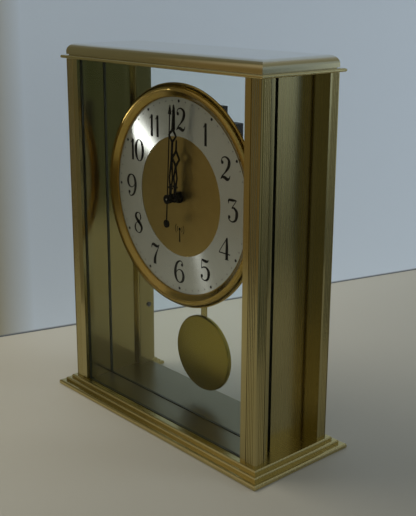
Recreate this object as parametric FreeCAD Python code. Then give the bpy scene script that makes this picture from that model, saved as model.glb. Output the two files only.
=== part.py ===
"""Mantel clock with a four-post brass case, a glass-mounted dial and a free pendulum.

Millimetres. +X is the clock's right seen from the front, +Y goes to the back, +Z is up.
The origin is the middle of the footprint, on the surface that the clock stands on.
Gear angles are measured in the X-Z plane from +X towards +Z.
"""
import FreeCAD
import Part
import math
import os

Vec = FreeCAD.Vector

# ---- driving dimensions -------------------------------------------------------------------
BASE_W = 200.0
BASE_D = 80.0
TOTAL_H = 240.0
BASE_TOP = 7.5              # height of the floor that the posts stand on
CAP_BOTTOM = 230.6          # height of the top flange's underside
BASE_OVERHANG = 9.15        # base beyond the posts, all round
CAP_OVERHANG = 2.4          # top flange beyond the posts, all round
POST_W = 12.75
POST_D = 8.5
DIAL_Z = 149.9              # height of the hands' axis
MODULE = 0.4                # of the seconds train
SWING_PIVOT_Z = DIAL_Z + 41.0
BOB_Z = 40.8

# ---- case --------------------------------------------------------------------------------
CASE_X = BASE_W / 2 - BASE_OVERHANG       # outer face of the posts
CASE_Y = BASE_D / 2 - BASE_OVERHANG
INNER_X = CASE_X - POST_W                 # inner face of posts and side plates
FLANK_Y = CASE_Y - POST_D                 # face of a post that the side plate meets
PLATE_T = 1.8
FELT_T = 1.0
FELT_PROUD = 0.4
FELT_INSET = 2.5
BASE_TIERS = ((0.0, 3.0, 1.2), (3.65, 5.3, 1.0), (6.65, BASE_TOP, 1.0))   # inset, top, rounding
NOTCH_Y = 26.0                            # the base is open at the back from here
FLOOR_T = 1.0
GLASS_T = 2.0
FRONT_GLASS_Y = -28.3                     # front face of each pane
DIAL_GLASS_Y = -9.6
GLASS_HEM = 0.1                           # play of a pane in its groove
PANE_BITE = 1.4                           # depth of the panes in their grooves
RAIL_Y = (14.5, 25.8)
RAIL_T = 3.6
RAIL_SCREW_Y = 23.3
RAIL_SCREW_Z = (52.6, 185.5)
FLANGE_T = 2.0
CAP_NECK_H = 0.6
CAP_NECK_INSET = 4.0
CAP_INSET = 2.8
CAP_ROUND = 5.0
CAP_WALL = 2.2
POST_SCREW_X = CASE_X - 5.85
POST_SCREW_Y = CASE_Y - 5.65

# ---- reeded posts ------------------------------------------------------------------------
REED_PITCH = 1.35
REED_H = 0.55
FRONT_REEDS = 5
SIDE_REEDS = 4
CORNER_R = 1.5
FLANK_GROOVE_W = 3.1
FLANK_GROOVE_D = 1.5

# ---- dial --------------------------------------------------------------------------------
DIAL_R = 63.0
DIAL_T = 0.5
RING_T = 0.3
RING_IN_R = 37.8
RING_OUT_R = 62.4
BEZEL_R = 70.5
BEZEL_IN_R = 61.8
DIAL_FACE_Y = DIAL_GLASS_Y - DIAL_T - RING_T

# ---- hand shafts, from the middle outwards -----------------------------------------------
ARBOR_R = 0.5
PIVOT_PLAY = 0.05
MINUTE_TUBE_R = 1.25
HOUR_TUBE_R = 2.1
BUSH_R = 2.7
NUT_R = 3.8                 # to its corners
HOUR_HAND_Y = -13.9
MINUTE_HAND_Y = -17.6
SECOND_HAND_Y = -20.0
HOUR_SET = 2.7              # degrees past twelve at rest, as each hand sits on its shaft
MINUTE_SET = 3.7
SECOND_SET = 3.2

# ---- movement ----------------------------------------------------------------------------
MOVE_X = 28.3
MOVE_BOTTOM = DIAL_Z - 46.0
MOVE_TOP = DIAL_Z + 58.0
COVER_TOP = DIAL_Z + 46.5
WALL = 1.2
CASE_FRONT_Y = -7.0
SPLIT_Y = 4.0                             # where the case meets its rear cover
COVER_BACK_Y = 9.6
HOUSING_BOTTOM = DIAL_Z + 18.0            # pendulum housing on the back of the cover
HOUSING_BACK_Y = 17.0
BATTERY_R = 7.25
BATTERY_L = 50.5
BATTERY_Y = 2.2
BATTERY_Z = DIAL_Z - 36.0
BUTTON_Z = DIAL_Z - 20.0
BUTTON_R = 1.7
COVER_SCREWS = ((25.9, 15.5), (-25.9, 15.5), (25.9, -23.5), (-25.9, -23.5))

# ---- gear train: teeth, and where each arbor stands from the hands' axis ------------------
ROTOR_PINION = 8
INTERMEDIATE = (40, 8)      # wheel, pinion
SECOND = (48, 8)
THIRD = (64, 8)
MINUTE = (60, 12)
MOTION = (36, 10)
HOUR = 40


def centre_distance(teeth_a, teeth_b, module):
    return (teeth_a + teeth_b) / 2 * module


def polar(x, z, distance, degrees):
    angle = math.radians(degrees)
    return x + distance * math.cos(angle), z + distance * math.sin(angle)


INTERMEDIATE_DIR = 200.0
ROTOR_DIR = 150.0
THIRD_DIR = 30.0
MOTION_DIR = 150.0
CENTRE = (0.0, DIAL_Z)
INTERMEDIATE_AT = polar(*CENTRE, centre_distance(SECOND[0], INTERMEDIATE[1], MODULE), INTERMEDIATE_DIR)
ROTOR_AT = polar(*INTERMEDIATE_AT, centre_distance(INTERMEDIATE[0], ROTOR_PINION, MODULE), ROTOR_DIR)
THIRD_REACH = centre_distance(SECOND[1], THIRD[0], MODULE)
THIRD_AT = polar(*CENTRE, THIRD_REACH, THIRD_DIR)
MINUTE_MODULE = THIRD_REACH * 2 / (THIRD[1] + MINUTE[0])
MOTION_REACH = centre_distance(MINUTE[1], MOTION[0], MODULE)
MOTION_AT = polar(*CENTRE, MOTION_REACH, MOTION_DIR)
HOUR_MODULE = MOTION_REACH * 2 / (MOTION[1] + HOUR)

# layers of the train: front and back face of each wheel and pinion
HOUR_Y = (-5.4, -4.4)
MOTION_PINION_Y = (-5.5, -4.2)
MOTION_Y = (-4.2, -3.2)
CANNON_Y = (-4.3, -3.1)
MINUTE_Y = (-2.8, -2.0)
THIRD_PINION_Y = (-3.0, -1.8)
GEAR_PLATE_Y = (-1.4, -0.6)
THIRD_Y = (0.2, 1.0)
SECOND_PINION_Y = (0.0, 1.2)
SECOND_Y = (1.8, 2.6)
INTERMEDIATE_PINION_Y = (1.6, 2.8)
INTERMEDIATE_Y = (3.4, 4.2)
ROTOR_PINION_Y = (3.2, 4.4)
ROTOR_MAGNET_Y = (5.0, 6.2)
ROTOR_MAGNET_R = 2.9
BRIDGE_Y = (7.2, 8.2)

# ---- pendulum ----------------------------------------------------------------------------
ROD_W = 5.5
ROD_Y = (10.7, 11.3)
HANGER_Y = (11.3, 12.9)
HANGER_HALF_W = 2.5
PIVOT_PIN_R = 0.8
BOB_R = 25.8
BOB_T = 2.4
BOB_DOME = 1.2
MAGNET_Z = DIAL_Z + 30.0


# ==== shapes ==============================================================================
def block(x0, x1, y0, y1, z0, z1):
    return Part.makeBox(x1 - x0, y1 - y0, z1 - z0, Vec(x0, y0, z0))


def centred_block(half_x, half_y, z0, z1):
    return block(-half_x, half_x, -half_y, half_y, z0, z1)


def rod_y(radius, y0, y1, at=CENTRE):
    """A cylinder whose axis runs front to back."""
    return Part.makeCylinder(radius, y1 - y0, Vec(at[0], y0, at[1]), Vec(0, 1, 0))


def rod_z(radius, z0, z1, x, y):
    return Part.makeCylinder(radius, z1 - z0, Vec(x, y, z0))


def ring_y(outer, inner, y0, y1, at=CENTRE):
    return rod_y(outer, y0, y1, at).cut(rod_y(inner, y0 - 1, y1 + 1, at))


def plate_y(outline, y0, y1):
    """A flat plate: an outline of (x, z) points, given thickness from y0 to y1."""
    points = [Vec(x, y0, z) for x, z in outline]
    face = Part.Face(Part.makePolygon(points + points[:1]))
    return face.extrude(Vec(0, y1 - y0, 0))


def mirrored(half):
    """A symmetric outline from its right half, listed from the bottom to the top."""
    left = [(-x, z) for x, z in reversed(half) if x > 0]
    return list(half) + left


def flip_x(shape):
    return shape.mirror(Vec(0, 0, 0), Vec(1, 0, 0))


def flip_y(shape):
    return shape.mirror(Vec(0, 0, 0), Vec(0, 1, 0))


def fused(first, *others):
    return first.fuse(list(others)).removeSplitter()


def group(solids):
    return Part.makeCompound(list(solids))


def edges_at(shape, z):
    """The edges of a shape that lie wholly at one height."""
    return [edge for edge in shape.Edges if all(abs(v.Z - z) < 0.001 for v in edge.Vertexes)]


def four_corners(x, y):
    return [(sx * x, sy * y) for sx in (-1, 1) for sy in (-1, 1)]


# ==== case ================================================================================
def notch(margin=0.0):
    """The space left open in the base, behind the pendulum."""
    return block(-INNER_X - margin, INNER_X + margin, NOTCH_Y - margin, BASE_D, -1, BASE_TOP + 1)


def base_felt():
    sheet = centred_block(BASE_W / 2 - FELT_INSET, BASE_D / 2 - FELT_INSET, 0, FELT_T)
    return sheet.cut(notch(FELT_INSET))


def floor_plate(y0, y1):
    return block(-INNER_X, INNER_X, y0, y1, BASE_TOP - FLOOR_T, BASE_TOP)


def floor_plate_front():
    return floor_plate(FRONT_GLASS_Y + GLASS_T + GLASS_HEM, DIAL_GLASS_Y - GLASS_HEM)


def floor_plate_rear():
    return floor_plate(DIAL_GLASS_Y + GLASS_T + GLASS_HEM, NOTCH_Y - GLASS_HEM)


def pane(front_y, play=0.0):
    """A glass pane, or with some play, the grooves that it stands in."""
    half = INNER_X + PANE_BITE + play
    bottom = BASE_TOP - PANE_BITE - play
    top = CAP_BOTTOM + PANE_BITE / 2 + play
    return block(-half, half, front_y - play, front_y + GLASS_T + play, bottom, top)


def base_moulding():
    tiers = []
    bottom = FELT_PROUD
    for inset, top, rounding in BASE_TIERS:
        tier = centred_block(BASE_W / 2 - inset, BASE_D / 2 - inset, bottom, top)
        tiers.append(tier.makeFillet(rounding, edges_at(tier, top)))
        bottom = top - rounding - 0.1
    base = fused(*tiers).cut(notch())
    base = base.cut([base_felt(), floor_plate_front(), floor_plate_rear()])
    base = base.cut([pane(FRONT_GLASS_Y, GLASS_HEM), pane(DIAL_GLASS_Y, GLASS_HEM)])
    return base.cut(base_screws().Solids)


def base_screws():
    """Countersunk screws that come up through the base into the posts."""
    screws = []
    for x, y in four_corners(POST_SCREW_X, POST_SCREW_Y):
        head = Part.makeCone(2.8, 1.5, 1.6, Vec(x, y, FELT_T))
        screws.append(fused(head, rod_z(1.5, FELT_T, 22.0, x, y)))
    return group(screws)


def top_studs():
    return group(rod_z(1.5, CAP_BOTTOM - 14, CAP_BOTTOM + FLANGE_T, x, y)
                 for x, y in four_corners(POST_SCREW_X, POST_SCREW_Y))


def reeded_line(x, y, step_x, step_y, out_x, out_y, count):
    """A row of small convex reeds, as arcs, from (x, y) on by one step each."""
    arcs = []
    for i in range(count):
        start = Vec(x + i * step_x, y + i * step_y, 0)
        end = Vec(x + (i + 1) * step_x, y + (i + 1) * step_y, 0)
        middle = (start + end) / 2 + Vec(out_x * REED_H, out_y * REED_H, 0)
        arcs.append(Part.Arc(start, middle, end).toShape())
    return arcs


def line(x0, y0, x1, y1):
    return Part.LineSegment(Vec(x0, y0, 0), Vec(x1, y1, 0)).toShape()


def post_front_right():
    """A post: a plain band by the opening, reeds on both faces, and a round corner bead."""
    front, side = -CASE_Y, CASE_X
    valley_y = front + REED_H
    valley_x = side - REED_H
    reeds_x = side - CORNER_R - FRONT_REEDS * REED_PITCH
    reeds_y = front + CORNER_R + SIDE_REEDS * REED_PITCH
    corner_x, corner_y = side - CORNER_R, front + CORNER_R
    diagonal = CORNER_R * math.sqrt(0.5)
    bead = Part.Arc(Vec(corner_x, front, 0), Vec(corner_x + diagonal, corner_y - diagonal, 0),
                    Vec(side, corner_y, 0)).toShape()
    edges = [line(INNER_X, front, reeds_x, front), line(reeds_x, front, reeds_x, valley_y)]
    edges += reeded_line(reeds_x, valley_y, REED_PITCH, 0, 0, -1, FRONT_REEDS)
    edges += [line(corner_x, valley_y, corner_x, front), bead, line(side, corner_y, valley_x, corner_y)]
    edges += reeded_line(valley_x, corner_y, 0, REED_PITCH, 1, 0, SIDE_REEDS)
    edges += [line(valley_x, reeds_y, side, reeds_y), line(side, reeds_y, side, -FLANK_Y)]
    edges += [line(side, -FLANK_Y, INNER_X, -FLANK_Y), line(INNER_X, -FLANK_Y, INNER_X, front)]
    face = Part.Face(Part.Wire(edges))
    face.translate(Vec(0, 0, BASE_TOP))
    post = face.extrude(Vec(0, 0, CAP_BOTTOM - BASE_TOP))
    groove_x = INNER_X + PLATE_T
    groove = block(groove_x, groove_x + FLANK_GROOVE_W, -FLANK_Y - FLANK_GROOVE_D, -FLANK_Y + 1, 0, TOTAL_H)
    return post.cut([groove, pane(FRONT_GLASS_Y, GLASS_HEM)] + base_screws().Solids + top_studs().Solids)


def side_plate(y0, y1):
    return block(INNER_X, INNER_X + PLATE_T, y0, y1, BASE_TOP, CAP_BOTTOM)


def side_strip_right():
    return side_plate(-FLANK_Y, DIAL_GLASS_Y - GLASS_HEM * 2)


def side_plate_right():
    return side_plate(DIAL_GLASS_Y + GLASS_T + GLASS_HEM * 2, FLANK_Y)


def rear_rail_right():
    rail = block(INNER_X - RAIL_T, INNER_X, RAIL_Y[0], RAIL_Y[1], BASE_TOP, CAP_BOTTOM)
    corner = [e for e in rail.Edges if all(v.X < INNER_X - 1 and v.Y < RAIL_Y[0] + 1 for v in e.Vertexes)]
    return rail.makeFillet(1.2, corner).cut(rail_screws().Solids)


def rail_screws():
    """Slotted pan-head screws that hold the rear rails to the rear posts."""
    screws = []
    face = INNER_X - RAIL_T
    for z in RAIL_SCREW_Z:
        at = Vec(face - 0.8, RAIL_SCREW_Y, z)
        head = Part.makeCylinder(1.7, 0.8, at, Vec(1, 0, 0))
        shank = Part.makeCylinder(0.9, RAIL_T + 2.1, at, Vec(1, 0, 0))
        slot = block(face - 0.9, face - 0.4, RAIL_SCREW_Y - 2, RAIL_SCREW_Y + 2, z - 0.25, z + 0.25)
        screws.append(fused(head, shank).cut(slot))
    return group(screws + [flip_x(screw) for screw in screws])


def top_flange():
    top = CAP_BOTTOM + FLANGE_T
    slab = centred_block(CASE_X + CAP_OVERHANG, CASE_Y + CAP_OVERHANG, CAP_BOTTOM, top)
    slab = slab.makeFillet(0.9, edges_at(slab, top) + edges_at(slab, CAP_BOTTOM))
    slab = slab.cut([pane(FRONT_GLASS_Y, GLASS_HEM), pane(DIAL_GLASS_Y, GLASS_HEM)])
    return slab.cut(top_studs().Solids)


def top_cap():
    """The domed cap: a hollow moulding with a quarter-round edge, on a narrower neck."""
    bottom = CAP_BOTTOM + FLANGE_T
    half_x = CASE_X + CAP_OVERHANG - CAP_INSET
    half_y = CASE_Y + CAP_OVERHANG - CAP_INSET
    step = CAP_NECK_INSET - CAP_INSET
    neck = centred_block(half_x - step, half_y - step, bottom, bottom + CAP_NECK_H)
    body = centred_block(half_x, half_y, bottom + CAP_NECK_H, TOTAL_H)
    body = body.makeFillet(CAP_ROUND, edges_at(body, TOTAL_H))
    hollow = centred_block(half_x - CAP_WALL, half_y - CAP_WALL, bottom - 1, TOTAL_H - 4)
    return fused(neck, body).cut(hollow)


def front_glass():
    return pane(FRONT_GLASS_Y)


def dial_glass():
    return pane(DIAL_GLASS_Y).cut(rod_y(BUSH_R + 0.15, DIAL_GLASS_Y - 1, 0))


# ==== dial and bezel ======================================================================
def dial_plate():
    return ring_y(DIAL_R, BUSH_R + 0.1, DIAL_GLASS_Y - DIAL_T, DIAL_GLASS_Y)


def chapter_ring():
    return ring_y(RING_OUT_R, RING_IN_R, DIAL_FACE_Y, DIAL_FACE_Y + RING_T)


def bezel():
    """A turned ring: outer lip, convex band, fine step, and a cone down to the dial."""
    def at(radius, forward):
        return Vec(radius, DIAL_GLASS_Y - forward, DIAL_Z)

    band = Part.Arc(at(69.9, 1.3), at(69.0, 3.4), at(66.2, 4.4)).toShape()
    outline = [at(66.2, 4.4), at(66.2, 4.0), at(65.6, 4.0), at(62.6, 1.9), at(BEZEL_IN_R, 1.7)]
    outline += [at(BEZEL_IN_R, 0.9), at(DIAL_R + 0.2, 0.9), at(DIAL_R + 0.2, 0)]
    outline += [at(BEZEL_R, 0), at(BEZEL_R, 1.1), at(69.9, 1.3)]
    profile = Part.Face(Part.Wire([band] + Part.makePolygon(outline).Edges))
    return profile.revolve(Vec(0, 0, DIAL_Z), Vec(0, 1, 0), 360)


# ==== gears ===============================================================================
def gear(teeth, module, layer, at, phase):
    """A wheel with straight-sided teeth and running play; one tooth points along phase."""
    pitch_r = teeth * module / 2
    turn = 2 * math.pi / teeth
    corners = ((-0.30, -1.05), (-0.21, -0.1), (-0.10, 0.7), (0.10, 0.7), (0.21, -0.1), (0.30, -1.05))
    outline = []
    for i in range(teeth):
        middle = math.radians(phase) + i * turn
        for along, up in corners:
            radius = pitch_r + up * module
            angle = middle + along * turn * min(1.0, pitch_r / radius)
            outline.append((at[0] + radius * math.cos(angle), at[1] + radius * math.sin(angle)))
    return plate_y(outline, *layer)


def meshed(phase, teeth, other_teeth, direction):
    """The phase of a gear that stands in a given direction from one whose phase is known."""
    return direction + 180 + 180 / other_teeth - (phase - direction) * teeth / other_teeth


INTERMEDIATE_PHASE = meshed(0, SECOND[0], INTERMEDIATE[1], INTERMEDIATE_DIR)
ROTOR_PHASE = meshed(0, INTERMEDIATE[0], ROTOR_PINION, ROTOR_DIR)
THIRD_PHASE = meshed(0, SECOND[1], THIRD[0], THIRD_DIR)
MINUTE_PHASE = meshed(0, THIRD[1], MINUTE[0], THIRD_DIR + 180)
MOTION_PHASE = meshed(0, MINUTE[1], MOTION[0], MOTION_DIR)
HOUR_PHASE = meshed(0, MOTION[1], HOUR, MOTION_DIR + 180)


def arbor(at, y0, y1, radius=ARBOR_R):
    return rod_y(radius, y0, y1, at)


def rotor_pinion():
    shaft = arbor(ROTOR_AT, GEAR_PLATE_Y[0], BRIDGE_Y[1])
    return fused(shaft, gear(ROTOR_PINION, MODULE, ROTOR_PINION_Y, ROTOR_AT, ROTOR_PHASE))


def rotor_magnet():
    return ring_y(ROTOR_MAGNET_R, ARBOR_R, *ROTOR_MAGNET_Y, ROTOR_AT)


def intermediate_wheel():
    wheel = gear(INTERMEDIATE[0], MODULE, INTERMEDIATE_Y, INTERMEDIATE_AT, 0)
    pinion = gear(INTERMEDIATE[1], MODULE, INTERMEDIATE_PINION_Y, INTERMEDIATE_AT, INTERMEDIATE_PHASE)
    collar = rod_y(0.9, INTERMEDIATE_PINION_Y[1], INTERMEDIATE_Y[0], INTERMEDIATE_AT)
    return fused(arbor(INTERMEDIATE_AT, GEAR_PLATE_Y[0], BRIDGE_Y[1]), collar, pinion, wheel)


def second_arbor():
    return arbor(CENTRE, SECOND_HAND_Y - 0.7, BRIDGE_Y[1])


def second_wheel():
    wheel = gear(SECOND[0], MODULE, SECOND_Y, CENTRE, 0)
    pinion = gear(SECOND[1], MODULE, SECOND_PINION_Y, CENTRE, 0)
    collar = rod_y(0.9, SECOND_PINION_Y[1], SECOND_Y[0])
    return fused(collar, pinion, wheel).cut(second_arbor())


def third_wheel():
    wheel = gear(THIRD[0], MODULE, THIRD_Y, THIRD_AT, THIRD_PHASE)
    pinion = gear(THIRD[1], MINUTE_MODULE, THIRD_PINION_Y, THIRD_AT, 0)
    return fused(arbor(THIRD_AT, CASE_FRONT_Y + 0.5, BRIDGE_Y[1]), pinion, wheel)


def minute_wheel():
    """The centre wheel: its tube carries the minute hand, its cannon drives the motion wheel."""
    wheel = gear(MINUTE[0], MINUTE_MODULE, MINUTE_Y, CENTRE, MINUTE_PHASE)
    cannon = gear(MINUTE[1], MODULE, CANNON_Y, CENTRE, 0)
    tube = rod_y(MINUTE_TUBE_R, MINUTE_HAND_Y - 0.7, MINUTE_Y[1])
    return fused(tube, cannon, wheel).cut(rod_y(ARBOR_R + PIVOT_PLAY, MINUTE_HAND_Y - 2, 0))


def motion_wheel():
    wheel = gear(MOTION[0], MODULE, MOTION_Y, MOTION_AT, MOTION_PHASE)
    pinion = gear(MOTION[1], HOUR_MODULE, MOTION_PINION_Y, MOTION_AT, 0)
    return fused(pinion, wheel).cut(rod_y(ARBOR_R + PIVOT_PLAY, CASE_FRONT_Y, 0, MOTION_AT))


def hour_wheel():
    wheel = gear(HOUR, HOUR_MODULE, HOUR_Y, CENTRE, HOUR_PHASE)
    tube = rod_y(HOUR_TUBE_R, HOUR_HAND_Y - 0.7, HOUR_Y[1])
    return fused(tube, wheel).cut(rod_y(MINUTE_TUBE_R + PIVOT_PLAY, HOUR_HAND_Y - 2, 0))


# ==== hands ===============================================================================
def hand(half_outline, openings, y, thickness, collar_r, shaft_r):
    """A flat hand that points up, pierced by its openings, on a turned collar."""
    def raised(half):
        return [(x, DIAL_Z + z) for x, z in half]

    y0, y1 = y - thickness / 2, y + thickness / 2
    blade = plate_y(mirrored(raised(half_outline)), y0, y1)
    for opening in openings:
        blade = blade.cut(plate_y(mirrored(raised(opening)), y0 - 1, y1 + 1))
    collar = rod_y(collar_r, y - 0.7, y + 0.5)
    return fused(blade, collar).cut(rod_y(shaft_r, y - 3, y + 3))


def past_twelve(shape, degrees):
    """A shape turned clockwise about the hands' axis, as seen from the front."""
    return shape.rotated(Vec(0, 0, DIAL_Z), Vec(0, 1, 0), degrees)


def hour_hand():
    half = [(1.2, 0), (1.2, 6.3), (2.3, 6.5), (2.3, 7.5), (1.4, 7.7), (2.1, 12.5), (0.9, 19.0)]
    half += [(0.9, 19.8), (4.0, 24.7), (0.8, 29.7), (0.5, 35.8), (0, 36.6)]
    leaf = [(0, 8.6), (0.4, 9.6), (0.95, 12.6), (0, 17.0)]
    diamond = [(0, 21.4), (2.5, 24.7), (0, 28.0)]
    return past_twelve(hand(half, [leaf, diamond], HOUR_HAND_Y, 0.4, 3.0, HOUR_TUBE_R), HOUR_SET)


def minute_hand():
    half = [(1.1, 0), (1.1, 6.3), (2.2, 6.5), (2.2, 7.5), (1.3, 7.7), (1.95, 13.0), (0.9, 24.5)]
    half += [(0.85, 35.4), (4.0, 39.4), (1.2, 43.4), (1.1, 46.0), (0.6, 57.6), (0, 58.4)]
    leaf = [(0, 8.6), (0.35, 9.6), (0.85, 13.2), (0, 21.0)]
    diamond = [(0, 36.6), (2.6, 39.4), (0, 42.2)]
    return past_twelve(hand(half, [leaf, diamond], MINUTE_HAND_Y, 0.4, 2.7, MINUTE_TUBE_R), MINUTE_SET)


def second_hand():
    half = [(0.5, -14), (0.4, 0), (0.35, 52.6), (1.6, 52.6), (0.25, 58.2), (0, 58.5)]
    needle = hand(half, [], SECOND_HAND_Y, 0.3, 2.9, ARBOR_R)
    weight = rod_y(2.5, SECOND_HAND_Y - 0.4, SECOND_HAND_Y + 0.4, (0, DIAL_Z - 15.6))
    return past_twelve(fused(needle, weight), SECOND_SET)


# ==== movement ============================================================================
def mounting_bush():
    tube = rod_y(BUSH_R, HOUR_HAND_Y + 0.8, CASE_FRONT_Y + WALL)
    flange = rod_y(5.6, CASE_FRONT_Y, CASE_FRONT_Y + 0.8)
    return fused(tube, flange).cut(rod_y(HOUR_TUBE_R + PIVOT_PLAY, -20, 0))


def mounting_washer():
    return ring_y(9.0, BUSH_R + 0.1, DIAL_GLASS_Y + GLASS_T, CASE_FRONT_Y)


def mounting_nut():
    outline = [polar(*CENTRE, NUT_R, 60 * i) for i in range(6)]
    front = HOUR_HAND_Y + 0.9
    return plate_y(outline, front, DIAL_GLASS_Y - DIAL_T).cut(rod_y(BUSH_R, -20, 0))


def cover_screw_places():
    return [(x, DIAL_Z + z) for x, z in COVER_SCREWS]


def cover_screws():
    """Pan-head screws that hold the rear cover to the movement's case."""
    head_y = COVER_BACK_Y
    return group(fused(rod_y(1.8, head_y, head_y + 0.8, at), rod_y(0.9, -3, head_y, at))
                 for at in cover_screw_places())


def movement_case():
    """The front half of the movement's case, with a closed chamber for the aerial on top."""
    inner = MOVE_X - WALL
    front = CASE_FRONT_Y + WALL
    shell = block(-MOVE_X, MOVE_X, CASE_FRONT_Y, SPLIT_Y, MOVE_BOTTOM, MOVE_TOP)
    main = block(-inner, inner, front, SPLIT_Y + 1, MOVE_BOTTOM + WALL, COVER_TOP - WALL)
    chamber = block(-inner, inner, front, SPLIT_Y - WALL, COVER_TOP, MOVE_TOP - WALL)
    bosses = [rod_y(1.9, front - 0.1, SPLIT_Y, at) for at in cover_screw_places()]
    motion_post = rod_y(ARBOR_R, front - 0.1, CANNON_Y[1], MOTION_AT)
    body = fused(shell.cut([main, chamber]), motion_post, *bosses)
    third_pivot = rod_y(ARBOR_R + PIVOT_PLAY, CASE_FRONT_Y + 0.4, front + 0.1, THIRD_AT)
    shaft_hole = [rod_y(BUSH_R, -20, 0), rod_y(5.6, -20, CASE_FRONT_Y + 0.8)]
    return body.cut(shaft_hole + [third_pivot] + cover_screws().Solids)


def rear_cover():
    """The rear half: an open battery bay below, and the pendulum housing above."""
    inner = MOVE_X - WALL
    back = COVER_BACK_Y - WALL
    shell = block(-MOVE_X, MOVE_X, SPLIT_Y, COVER_BACK_Y, MOVE_BOTTOM, COVER_TOP)
    cavity = block(-inner, inner, SPLIT_Y - 1, back, MOVE_BOTTOM + WALL, COVER_TOP - WALL)
    housing = block(-MOVE_X, MOVE_X, back, HOUSING_BACK_Y, HOUSING_BOTTOM, COVER_TOP)
    chamber = block(-inner, inner, COVER_BACK_Y, HOUSING_BACK_Y - WALL, HOUSING_BOTTOM + WALL,
                    COVER_TOP - WALL)
    slot = block(-7, 7, HANGER_Y[0] - 0.7, HANGER_Y[1] + 0.7, HOUSING_BOTTOM - 1, HOUSING_BOTTOM + 2)
    bay = block(-26.2, 26.2, SPLIT_Y + 1, COVER_BACK_Y + 1, BATTERY_Z - 7.6, BATTERY_Z + 7.6)
    button_holes = [rod_y(BUTTON_R + 0.1, back - 1, COVER_BACK_Y + 1, (x, BUTTON_Z)) for x in (-14, 14)]
    body = fused(shell.cut(cavity), housing).cut([chamber, slot, bay] + button_holes)
    return body.cut(cover_screws().Solids + [pivot_pin()])


def bored_plate(plate, places):
    return plate.cut([rod_y(ARBOR_R + PIVOT_PLAY, -20, 20, at) for at in places])


def gear_plate():
    plate = block(-23.5, 23.5, *GEAR_PLATE_Y, DIAL_Z - 14, DIAL_Z + 22)
    return bored_plate(plate, [CENTRE, INTERMEDIATE_AT, ROTOR_AT, THIRD_AT])


def train_bridge():
    plate = block(-24, 17, *BRIDGE_Y, DIAL_Z - 12, DIAL_Z + 13)
    return bored_plate(plate, [CENTRE, INTERMEDIATE_AT, ROTOR_AT, THIRD_AT])


def motor_stator():
    """Soft iron: a pole plate round the rotor, two legs, and a bar through the coil."""
    x, z = ROTOR_AT
    layer = ROTOR_MAGNET_Y
    poles = block(x - 5.8, x + 5.8, *layer, z - 5, z + 6).cut(rod_y(3.4, 0, 9, ROTOR_AT))
    legs = [block(x + side - 1.1, x + side + 1.1, *layer, z + 5, z + 15) for side in (-4.7, 4.7)]
    bar = block(x - 4.7, x + 4.7, *layer, z + 13, z + 15)
    return fused(poles, bar, *legs)


def motor_coil():
    x, z = ROTOR_AT
    middle = sum(ROTOR_MAGNET_Y) / 2
    start = Vec(x - 3.4, middle, z + 14)
    outer = Part.makeCylinder(2.0, 6.8, start, Vec(1, 0, 0))
    return outer.cut(Part.makeCylinder(1.25, 6.8, start, Vec(1, 0, 0)))


def circuit_board():
    return block(-22, 22, 4.6, 5.6, DIAL_Z + 23, DIAL_Z + 44)


def circuit_parts():
    """What is soldered to the board: the receiver chip and the quartz crystal's can."""
    chip = block(6, 14, 3.4, 4.6, DIAL_Z + 29, DIAL_Z + 37)
    crystal = Part.makeCylinder(1.0, 6.0, Vec(-14, 3.5, DIAL_Z + 34), Vec(1, 0, 0))
    return group([chip, crystal])


def antenna_rod():
    return Part.makeCylinder(3.2, 50.0, Vec(-25, -1.4, DIAL_Z + 51.6), Vec(1, 0, 0))


def antenna_coil():
    start = Vec(-9, -1.4, DIAL_Z + 51.6)
    outer = Part.makeCylinder(4.0, 18.0, start, Vec(1, 0, 0))
    return outer.cut(Part.makeCylinder(3.2, 18.0, start, Vec(1, 0, 0)))


def battery():
    """One AA cell, lying across the movement, with its raised contact to the right."""
    start = Vec(-BATTERY_L / 2, BATTERY_Y, BATTERY_Z)
    can = Part.makeCylinder(BATTERY_R, BATTERY_L - 1.0, start, Vec(1, 0, 0))
    tip = Part.makeCylinder(2.7, BATTERY_L, start, Vec(1, 0, 0))
    return fused(can, tip)


def battery_contacts():
    """Sprung strips, bent to a point, that press on the two ends of the battery."""
    strips = []
    for side in (-1, 1):
        tip, back = side * BATTERY_L / 2, side * (MOVE_X - WALL - 0.1)
        inside = back - side * 0.4
        outer = [(back, -6), (back, 6), (inside, 6), (tip, 0.5), (tip, -0.5), (inside, -6)]
        inner = [(inside, 4.5), (inside, -4.5), (tip + side * 0.4, 0)]
        y0, y1 = BATTERY_Y - 2.5, BATTERY_Y + 2.5
        strip = plate_y([(x, BATTERY_Z + z) for x, z in outer], y0, y1)
        strips.append(strip.cut(plate_y([(x, BATTERY_Z + z) for x, z in inner], y0 - 1, y1 + 1)))
    return group(strips)


def drive_coil():
    """The coil that nudges the pendulum's magnet through the cover's wall."""
    return ring_y(6.5, 2.5, 5.6, COVER_BACK_Y - WALL, (0, MAGNET_Z))


def button(x):
    """A small push button that shows through the rear cover, kept in by its flange."""
    stem = rod_y(BUTTON_R, 5.6, COVER_BACK_Y + 0.9, (x, BUTTON_Z))
    return fused(stem, rod_y(2.4, 7.2, 8.2, (x, BUTTON_Z)))


def set_button():
    return button(-14)


def reset_button():
    return button(14)


# ==== pendulum ============================================================================
def pivot_pin():
    return rod_y(PIVOT_PIN_R, COVER_BACK_Y - 0.9, HOUSING_BACK_Y - 0.4, (0, SWING_PIVOT_Z))


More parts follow.
